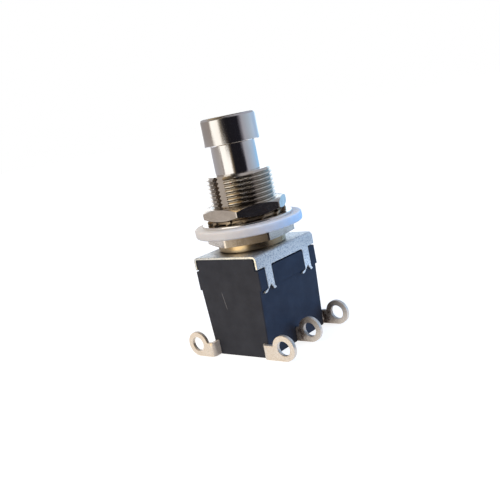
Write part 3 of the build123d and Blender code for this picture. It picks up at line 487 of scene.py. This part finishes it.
def black_moulding():
    """Matt charcoal moulding with a fine grain, pale dust specks and the long scratch on its front."""
    material, tree, shader, place = new_material("black_moulding")
    grain = noise(tree, place, scale=7.0, detail=4.0, roughness=0.6)
    patches = noise(tree, place, scale=0.35, detail=3.0)
    colour = blend_colours(tree, spread(tree, patches, *NOISE_ENDS), MOULDING_DARK, MOULDING_PALE)
    specks = spread(tree, noise(tree, place, scale=2.6, detail=2.0), *DUST_ENDS, to_high=DUST_MOST)
    colour = blend_colours(tree, specks, colour, DUST)
    line = scratch(tree, place, patches)
    wear_and_shade = calculate(tree, "MULTIPLY", line, spread(tree, grain, *SCRATCH_GRAIN_ENDS, *SCRATCH_SHARES))
    colour = blend_colours(tree, wear_and_shade, colour, SCRATCH_TONE)
    gloss = spread(tree, grain, *NOISE_ENDS, *MOULDING_GLOSS)
    scored = calculate(tree, "MULTIPLY_ADD", line, -1.0, grain)
    shader.inputs["Specular IOR Level"].default_value = MOULDING_SPECULAR
    surface(tree, shader, colour, gloss, scored, MOULDING_DEPTH)
    return material


def nylon():
    """Milky natural nylon that lets some light through."""
    material, tree, shader, place = new_material("nylon")
    clouds = noise(tree, place, scale=0.6, detail=4.0)
    colour = blend_colours(tree, spread(tree, clouds, *NOISE_ENDS), NYLON_PALE, NYLON_DULL)
    gloss = spread(tree, noise(tree, place, scale=4.0), *NOISE_ENDS, *NYLON_GLOSS)
    shader.inputs["Subsurface Weight"].default_value = NYLON_GLOW
    shader.inputs["Subsurface Radius"].default_value = NYLON_GLOW_RADIUS
    shader.inputs["Subsurface Scale"].default_value = NYLON_GLOW_SCALE * MM
    surface(tree, shader, colour, gloss, noise(tree, place, scale=5.0), NYLON_DEPTH)
    return material


def natural_plastic():
    """Moulded plastic of the inner pieces, slightly cloudy, with a fine skin."""
    material, tree, shader, place = new_material("natural_plastic")
    clouds = noise(tree, place, scale=0.7, detail=4.0)
    fine = noise(tree, place, scale=6.0, detail=3.0)
    colour = blend_colours(tree, spread(tree, clouds, *NOISE_ENDS), NATURAL_PALE, NATURAL_DULL)
    gloss = spread(tree, fine, *NOISE_ENDS, *NATURAL_GLOSS)
    surface(tree, shader, colour, gloss, fine, NATURAL_DEPTH)
    return material


def make_materials():
    """One material for each slot of the record."""
    made = {name: metal(name, *row) for name, row in METALS.items()}
    made.update(
        lug_plate=lug_plate(), zinc_sheet=zinc_sheet(), black_moulding=black_moulding(), nylon=nylon(),
        natural_plastic=natural_plastic(),
    )
    return made


MATERIALS = make_materials()


def make_piece(node, shape):
    """Turns a bmesh into the piece that stands for a CAD node, on the node's body and with its slot."""
    bmesh.ops.recalc_face_normals(shape, faces=shape.faces)
    mesh = bpy.data.meshes.new(f"shown_{node}")
    shape.to_mesh(mesh)
    shape.free()
    mesh.shade_smooth()
    mesh.set_sharp_from_angle(angle=SHARP_ANGLE)
    mesh.materials.clear()
    mesh.materials.append(MATERIALS[SLOT_OF[node]])
    piece = bpy.data.objects.new(mesh.name, mesh)
    bpy.context.scene.collection.objects.link(piece)
    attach(piece, BODY_OF[node])
    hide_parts(node)
    return piece


def dress(node, edge, segments=EDGE_SEGMENTS):
    """The node's own solid with its sharp edges broken; edge in millimetres."""
    shape = bmesh.new()
    shape.from_mesh(frame["nodes"][node].data)
    bmesh.ops.remove_doubles(shape, verts=shape.verts, dist=WELD_DISTANCE * MM)
    bmesh.ops.dissolve_limit(shape, angle_limit=FLAT_ANGLE, verts=shape.verts, edges=shape.edges)
    sharp = [
        line for line in shape.edges
        if len(line.link_faces) == 2 and line.calc_face_angle() > SHARP_ANGLE
    ]
    bmesh.ops.bevel(
        shape, geom=sharp, offset=edge * MM, offset_type="OFFSET", segments=segments, profile=EDGE_PROFILE,
        affect="EDGES", clamp_overlap=True,
    )
    piece = make_piece(node, shape)
    modifier = piece.modifiers.new("flat_faces", "WEIGHTED_NORMAL")
    modifier.keep_sharp = True
    return piece


def join_rows(shape, row, after):
    """Faces between two rows of corners that go round."""
    for index, corner in enumerate(row):
        following = (index + 1) % len(row)
        shape.faces.new((corner, row[following], after[following], after[index]))


def ring_shape(rows):
    """Closed ring from rows of points, each joined to the next and the last to the first."""
    shape = bmesh.new()
    loops = [[shape.verts.new(Vector(point) * MM) for point in row] for row in rows]
    for row, after in zip(loops, loops[1:] + loops[:1]):
        join_rows(shape, row, after)
    return shape


def bushing_row(radius_at, z, keyed):
    """Points of the bushing at one height from beside the keyway; its floor comes last, drawn in a little."""
    half = KEYWAY_WIDTH / 2
    edge = asin(half / radius_at(0.0))
    edge = asin(half / radius_at(edge))
    row = []
    for step in range(ROUND_STEPS + 1):
        turn = edge + (2 * pi - 2 * edge) * step / ROUND_STEPS
        radius = radius_at(turn)
        row.append((radius * sin(turn), -radius * cos(turn), z))
    for step in range(FLOOR_STEPS + 1):
        x = half * (2 * step / FLOOR_STEPS - 1)
        y = -KEYWAY_FLOOR if keyed else -sqrt(radius_at(0.0) ** 2 - x * x)
        row.append((x * KEYWAY_INSET, y * KEYWAY_INSET, z))
    return row


def make_bushing():
    """Turned bushing with its helical thread, chamfered mouth and keyway."""
    low, high = heights("bushing")
    _, thread_low = heights("panel_nut")
    _, frame_top = heights("frame")
    plate_low = frame_top - FRAME_SHEET

    def plain(radius, z, keyed=False):
        return bushing_row(lambda turn: radius, z, keyed)

    def thread_row(z):
        limit = THREAD_RADIUS - max(0.0, z - (high - THREAD_CHAMFER))

        def radius_at(turn):
            phase = (z / THREAD_PITCH - turn / (2 * pi)) % 1.0
            crest = abs(2 * phase - 1)
            drop = min(1.0, max(0.0, (CREST_START - crest) / CREST_SPAN))
            return min(limit, THREAD_RADIUS - THREAD_DEPTH * drop)

        return bushing_row(radius_at, z, True)

    count = round((high - thread_low) / THREAD_PITCH * STEPS_PER_PITCH)
    rows = [
        plain(SPRING_BORE_RADIUS, low),
        plain(SWAGE_RADIUS, low),
        plain(SWAGE_RADIUS, plate_low),
        plain(SPIGOT_RADIUS, plate_low),
        plain(SPIGOT_RADIUS, frame_top),
        plain(RELIEF_RADIUS, frame_top),
        plain(RELIEF_RADIUS, frame_top + RELIEF_HEIGHT),
        plain(COLLAR_RADIUS, frame_top + RELIEF_HEIGHT),
        plain(COLLAR_RADIUS, collar_top()),
        plain(PITCH_RADIUS, collar_top(), True),
        plain(PITCH_RADIUS, thread_low, True),
    ]
    rows += [thread_row(thread_low + (high - thread_low) * step / count) for step in range(count + 1)]
    rows += [
        plain(GUIDE_RADIUS + MOUTH_CHAMFER, high),
        plain(GUIDE_RADIUS, high - MOUTH_CHAMFER),
        plain(GUIDE_RADIUS, high - GUIDE_BORE_LENGTH),
        plain(SPRING_BORE_RADIUS, high - GUIDE_BORE_LENGTH),
    ]
    return make_piece("bushing", ring_shape(rows))


def make_nut(node, turn, chamfer, drop=0.0):
    """Hex nut, its corners chamfered at an angle on both faces, with a countersunk bore."""
    low, high = heights(node)
    low -= drop
    slope = tan(radians(chamfer))
    turns = [2 * pi * column / NUT_COLUMNS for column in range(NUT_COLUMNS)]
    flats = [radians(360 / HEX_SIDES * (flat + 0.5)) for flat in range(HEX_SIDES)]

    def hex_radius(angle):
        shares = [max(0.0, cos(angle - flat)) for flat in flats]
        return ACROSS_FLATS / 2 / sum(share ** NUT_CORNER_POWER for share in shares) ** (1 / NUT_CORNER_POWER)

    def row(radius_at, z_at):
        start = radians(turn)
        return [
            (radius_at(angle) * cos(angle + start), radius_at(angle) * sin(angle + start), z_at(angle))
            for angle in turns
        ]

    def lift(angle):
        return max(0.0, hex_radius(angle) - NUT_FACE_RADIUS) * slope

    def ring(radius, z):
        return row(lambda angle: radius, lambda angle: z)

    return make_piece(node, ring_shape([
        ring(NUT_BORE + NUT_COUNTERSINK, low),
        ring(NUT_FACE_RADIUS, low),
        row(hex_radius, lambda angle: low + lift(angle)),
        row(hex_radius, lambda angle: high - lift(angle)),
        ring(NUT_FACE_RADIUS, high),
        ring(NUT_BORE + NUT_COUNTERSINK, high),
        ring(NUT_BORE, high - NUT_COUNTERSINK),
        ring(NUT_BORE, low + NUT_COUNTERSINK),
    ]))


def make_nylon_washer():
    """Thick nylon washer with a rounded rim."""
    low, high = heights("nylon_washer")
    centre = NYLON_RADIUS - NYLON_ROUND
    profile = [(NYLON_BORE, low)]
    for corner_z, start in ((low + NYLON_ROUND, -90), (high - NYLON_ROUND, 0)):
        for step in range(ROUND_SEGMENTS + 1):
            angle = radians(start + 90 * step / ROUND_SEGMENTS)
            profile.append((centre + NYLON_ROUND * cos(angle), corner_z + NYLON_ROUND * sin(angle)))
    profile.append((NYLON_BORE, high))
    turns = [2 * pi * column / LATHE_COLUMNS for column in range(LATHE_COLUMNS)]
    return make_piece("nylon_washer", ring_shape([
        [(radius * cos(turn), radius * sin(turn), z) for turn in turns] for radius, z in profile
    ]))


def coil_shape(radius, wire, turns, low, high):
    """Round wire wound up Z with closed end turns, from sizes in millimetres."""
    steps = turns * STEPS_PER_TURN
    pitch_share = wire / (high - low - wire)
    shape = bmesh.new()
    loops = []
    for step in range(steps + 1):
        wound = step / STEPS_PER_TURN
        share = pitch_share * min(wound, 1.0)
        share += (1 - 2 * pitch_share) * min(max((wound - 1) / (turns - 2), 0.0), 1.0)
        share += pitch_share * max(wound - turns + 1, 0.0)
        z = low + wire / 2 + (high - low - wire) * share
        turn = 2 * pi * wound
        outward = Vector((cos(turn), sin(turn), 0))
        loop = []
        for column in range(WIRE_COLUMNS):
            angle = 2 * pi * column / WIRE_COLUMNS
            point = outward * (radius + wire / 2 * cos(angle)) + Vector((0, 0, z + wire / 2 * sin(angle)))
            loop.append(shape.verts.new(point))
        loops.append(loop)
    for row, after in zip(loops, loops[1:]):
        join_rows(shape, row, after)
    shape.faces.new(loops[0])
    shape.faces.new(loops[-1])
    bmesh.ops.scale(shape, vec=(MM, MM, MM), verts=shape.verts)
    return shape


def make_springs():
    """Return spring, which shortens with the plunger, and the two small springs in the rocker."""
    low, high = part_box("return_spring")
    spring = make_piece("return_spring", coil_shape(*RETURN_COIL, low.z / MM, high.z / MM))
    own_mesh(spring)

    lean = Matrix.Rotation(CONTACT_COIL_LEAN, 4, "X")
    for side in ("left", "right"):
        node = f"contact_spring_{side}"
        low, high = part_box(node)
        small = coil_shape(*CONTACT_COIL, -CONTACT_COIL_HALF, CONTACT_COIL_HALF)
        bmesh.ops.transform(small, matrix=Matrix.Translation((low + high) / 2) @ lean, verts=small.verts)
        make_piece(node, small)


def dress_the_rest():
    """Every other node: its solid with broken edges, wide on mouldings and narrow on thin metal."""
    for node in SLOT_OF:
        if node.startswith("terminal_"):
            dress(node, LUG_EDGE, LUG_EDGE_SEGMENTS)
        elif node.startswith(("contact_pin_", "contact_blade_", "fixed_contact_")):
            dress(node, CONTACT_EDGE)
        elif node in EDGES:
            dress(node, EDGES[node])


def make_camera():
    """Camera where the photograph was taken from, rolled as the photograph is."""
    turn, rise, roll = (radians(angle) for angle in (CAMERA_TURN, CAMERA_RISE, CAMERA_ROLL))
    back = Vector((sin(turn) * cos(rise), -cos(turn) * cos(rise), sin(rise)))
    right = (-back).cross(Vector((0, 0, 1))).normalized()
    up = right.cross(-back)
    across = cos(roll) * right + sin(roll) * up
    upward = -sin(roll) * right + cos(roll) * up
    camera = bpy.data.objects.new("camera", bpy.data.cameras.new("camera"))
    camera.data.lens = LENS
    camera.data.clip_start = CLIP_START
    turned = Matrix((across, upward, back)).transposed().to_4x4()
    camera.matrix_world = Matrix.Translation(CAMERA_TARGET + back * CAMERA_DISTANCE) @ turned
    bpy.context.scene.collection.objects.link(camera)
    bpy.context.scene.camera = camera


def add_output(tree, kind, first, second, share):
    """Mixes two shaders by a share and sends them to the tree's output."""
    mixed = add_node(tree, "MixShader", Fac=share)
    tree.links.new(first.outputs[0], mixed.inputs[1])
    tree.links.new(second.outputs[0], mixed.inputs[2])
    output = add_node(tree, kind)
    tree.links.new(mixed.outputs[0], output.inputs[0])


def seen_ray(tree):
    """One for the rays that show a background: from the camera, in metal and through glass."""
    path = add_node(tree, "LightPath")
    seen = calculate(tree, "MAXIMUM", path.outputs["Is Camera Ray"], path.outputs["Is Glossy Ray"])
    return calculate(tree, "MAXIMUM", seen, path.outputs["Is Transmission Ray"])


def make_world():
    """White background, and soft light on the object, cooler from the right."""
    world = bpy.data.worlds.new("studio")
    bpy.context.scene.world = world
    world.use_nodes = True
    tree = world.node_tree
    tree.nodes.clear()
    direction = add_node(tree, "TexCoord").outputs["Generated"]
    cool_share = spread(tree, along(tree, direction, (0, 0, 0), COOL_FROM), *COOL_SPREAD)
    soft = add_node(tree, "Background", Color=blend_colours(tree, cool_share, SOFT_LIGHT, COOL_LIGHT))
    white = add_node(tree, "Background", Color=WHITE)
    add_output(tree, "OutputWorld", soft, white, seen_ray(tree))


def stage_piece(name, shape):
    """Piece of the set, which isn't part of the object; returns it and its empty material's tree."""
    mesh = bpy.data.meshes.new(name)
    shape.to_mesh(mesh)
    shape.free()
    piece = bpy.data.objects.new(name, mesh)
    bpy.context.scene.collection.objects.link(piece)
    material = bpy.data.materials.new(name)
    material.use_nodes = True
    material.node_tree.nodes.clear()
    mesh.materials.append(material)
    return piece, material.node_tree


def make_floor():
    """Pale floor that keeps a soft shadow."""
    shape = bmesh.new()
    bmesh.ops.create_circle(shape, cap_ends=True, segments=STAGE_SEGMENTS, radius=FLOOR_RADIUS)
    bmesh.ops.translate(shape, vec=(0, 0, -FLOOR_GAP * MM), verts=shape.verts)
    _, tree = stage_piece("floor", shape)
    shaded = add_node(tree, "BsdfDiffuse", Color=(FLOOR_SHADE, FLOOR_SHADE, FLOOR_SHADE, 1))
    glow = add_node(tree, "Emission", Color=WHITE, Strength=FLOOR_GLOW)
    shown = add_node(tree, "AddShader")
    tree.links.new(shaded.outputs[0], shown.inputs[0])
    tree.links.new(glow.outputs[0], shown.inputs[1])
    pale = add_node(tree, "BsdfDiffuse", Color=(FLOOR_PALE, FLOOR_PALE, FLOOR_PALE, 1))
    add_output(tree, "OutputMaterial", pale, shown, seen_ray(tree))


def card_ramp(tree, turn, cards, level):
    """Colour of the cards round the object at one of their levels."""
    bands = add_node(tree, "ValToRGB", Fac=turn)
    ramp = bands.color_ramp
    for card in cards[1:-1]:
        ramp.elements.new((card[0] + 180) / 360).color = (*card[level], 1)
    ramp.elements[0].color = (*cards[0][level], 1)
    ramp.elements[-1].color = (*cards[-1][level], 1)
    return bands.outputs["Color"]


def card_wall(name, centre, radius, height, roofed):
    """Round wall that only reflections see: its tree, its place and its turn from 0 to 1."""
    shape = bmesh.new()
    bmesh.ops.create_cone(
        shape, segments=STAGE_SEGMENTS, radius1=radius * MM, radius2=radius * MM, depth=height * MM
    )
    if roofed:
        roof = bmesh.ops.create_circle(shape, cap_ends=True, segments=STAGE_SEGMENTS, radius=radius * MM)
        bmesh.ops.translate(shape, vec=(0, 0, height * MM / 2), verts=roof["verts"])
    bmesh.ops.translate(shape, vec=Vector((*centre, height / 2)) * MM, verts=shape.verts)
    wall, tree = stage_piece(name, shape)
    for unseen in ("visible_camera", "visible_diffuse", "visible_transmission", "visible_shadow"):
        setattr(wall, unseen, False)
    place = add_node(tree, "SeparateXYZ", Vector=add_node(tree, "TexCoord").outputs["Object"])
    angle = calculate(tree, "ARCTAN2", place.outputs["Y"], place.outputs["X"])
    return tree, place, spread(tree, angle, -pi, pi)


def light_wall(tree, place, colour, steps):
    """Glow of a wall: its lowest colour, then each next colour above a pair of heights."""
    for (low, high), next_colour in steps:
        share = spread(tree, place.outputs["Z"], low * MM, high * MM)
        colour = blend_colours(tree, share, colour, next_colour)
    glow = add_node(tree, "Emission", Color=colour)
    output = add_node(tree, "OutputMaterial")
    tree.links.new(glow.outputs[0], output.inputs[0])


def make_cards():
    """Pale and dark cards round the object, with a roof, and short cards nearer by."""
    tree, place, turn = card_wall("cards", CARD_CENTRE, CARD_RADIUS, CARD_HEIGHT, True)
    roof_colour = ROOF_LEFT
    for ends, next_colour in ((ROOF_FADE, ROOF_MIDDLE), (ROOF_RISE, ROOF_RIGHT)):
        share = spread(tree, place.outputs["X"], *(x * MM for x in ends))
        roof_colour = blend_colours(tree, share, roof_colour, next_colour)
    low, high, top = (card_ramp(tree, turn, CARDS, level) for level in (1, 2, 3))
    light_wall(tree, place, low, ((CARD_HIGH, high), (CARD_TOP, top), (CARD_ROOF, roof_colour)))

    tree, place, turn = card_wall("near_cards", NEAR_CENTRE, NEAR_RADIUS, NEAR_HEIGHT, False)
    low, high = (card_ramp(tree, turn, NEAR_CARDS, level) for level in (1, 2))
    light_wall(tree, place, low, ((NEAR_HIGH, high),))


def make_lamp(name, turn, rise, power, colour):
    """Soft square lamp that faces the object's middle."""
    lamp = bpy.data.lights.new(name, "AREA")
    lamp.shape = "SQUARE"
    lamp.size = LAMP_SIZE
    lamp.energy = power
    lamp.color = colour
    holder = bpy.data.objects.new(name, lamp)
    bpy.context.scene.collection.objects.link(holder)
    turn, rise = radians(turn), radians(rise)
    away = Vector((cos(turn) * cos(rise), sin(turn) * cos(rise), sin(rise)))
    holder.location = LAMP_AIM + away * LAMP_DISTANCE
    holder.rotation_euler = away.to_track_quat("Z", "Y").to_euler()
    holder.visible_glossy = False


make_camera()
make_bushing()
make_nut("panel_nut", PANEL_NUT_TURN, PANEL_NUT_CHAMFER)
make_nut("backing_nut", BACKING_NUT_TURN, BACKING_NUT_CHAMFER, BACKING_NUT_DROP)
make_nylon_washer()
make_springs()
dress_the_rest()
make_world()
make_floor()
make_cards()
for lamp_name, lamp_row in LAMPS.items():
    make_lamp(lamp_name, *lamp_row)
bpy.context.scene.view_settings.view_transform = "Standard"
